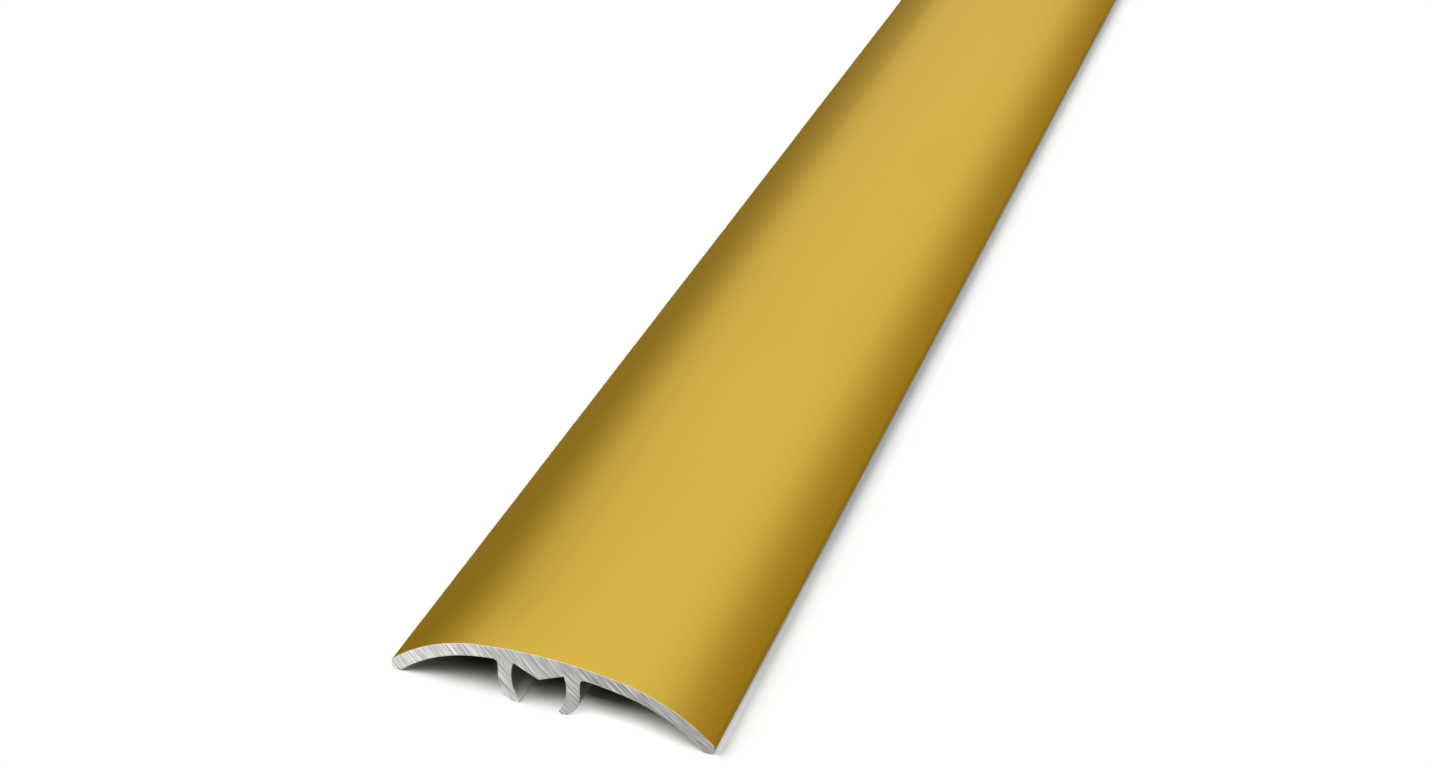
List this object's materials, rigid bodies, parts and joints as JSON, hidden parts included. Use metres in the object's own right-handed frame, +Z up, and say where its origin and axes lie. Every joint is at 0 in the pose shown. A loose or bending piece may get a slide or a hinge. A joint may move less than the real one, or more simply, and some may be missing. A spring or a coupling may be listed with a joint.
{
  "type": "threshold strip",
  "caption": "Domed aluminium threshold strip with a channel underneath that snaps over ball-headed studs driven into floor plugs, so that it tilts to join floors of different height.",
  "frame": {"origin": "middle of the strip, on the plane of the finished floor that its two long edges rest on", "axes": "+Y along the strip, +Z up, +X across it; the fixing channel lies 1.3 mm to the -X side of the middle"},
  "size_m": [0.041, 0.73, 0.0459],
  "materials": {
    "gold_anodised": "satin gold anodised; the sawn ends are bare metal",
    "zinc_steel": "bright zinc plated",
    "nylon": "natural nylon, slightly waxy"
  },
  "bodies": {
    "anchor": {"floor_plug_3": "nylon"},
    "stud_3": {"ball_stud_3": "zinc_steel"},
    "cover": {"cover_strip": "gold_anodised"},
    "plug_1": {"floor_plug_1": "nylon"},
    "stud_1": {"ball_stud_1": "zinc_steel"},
    "plug_2": {"floor_plug_2": "nylon"},
    "stud_2": {"ball_stud_2": "zinc_steel"},
    "plug_4": {"floor_plug_4": "nylon"},
    "stud_4": {"ball_stud_4": "zinc_steel"},
    "plug_5": {"floor_plug_5": "nylon"},
    "stud_5": {"ball_stud_5": "zinc_steel"}
  },
  "joints": [
    {"name": "drive_in", "type": "slide", "parent": "anchor", "child": "stud_3", "axis": [0, 0, 1], "range_m": [0, 0.012]},
    {"name": "cover_tilt", "type": "hinge", "parent": "stud_3", "child": "cover", "pos_m": [-0.0013, 0, 0.0029], "axis": [0, 1, 0], "range_deg": [-12, 12]},
    {"name": "fixing_1_slide", "type": "slide", "parent": "anchor", "child": "plug_1", "axis": [0, 1, 0], "range_m": [-0.05, 0.05]},
    {"name": "drive_in_1", "type": "slide", "parent": "plug_1", "child": "stud_1", "axis": [0, 0, 1], "range_m": [0, 0.012]},
    {"name": "fixing_2_slide", "type": "slide", "parent": "anchor", "child": "plug_2", "axis": [0, 1, 0], "range_m": [-0.05, 0.05]},
    {"name": "drive_in_2", "type": "slide", "parent": "plug_2", "child": "stud_2", "axis": [0, 0, 1], "range_m": [0, 0.012]},
    {"name": "fixing_4_slide", "type": "slide", "parent": "anchor", "child": "plug_4", "axis": [0, 1, 0], "range_m": [-0.05, 0.05]},
    {"name": "drive_in_4", "type": "slide", "parent": "plug_4", "child": "stud_4", "axis": [0, 0, 1], "range_m": [0, 0.012]},
    {"name": "fixing_5_slide", "type": "slide", "parent": "anchor", "child": "plug_5", "axis": [0, 1, 0], "range_m": [-0.05, 0.05]},
    {"name": "drive_in_5", "type": "slide", "parent": "plug_5", "child": "stud_5", "axis": [0, 0, 1], "range_m": [0, 0.012]}
  ],
  "couplings": [
    {"joint": "drive_in_1", "follows": "drive_in", "ratio": 1},
    {"joint": "drive_in_2", "follows": "drive_in", "ratio": 1},
    {"joint": "drive_in_4", "follows": "drive_in", "ratio": 1},
    {"joint": "drive_in_5", "follows": "drive_in", "ratio": 1}
  ]
}
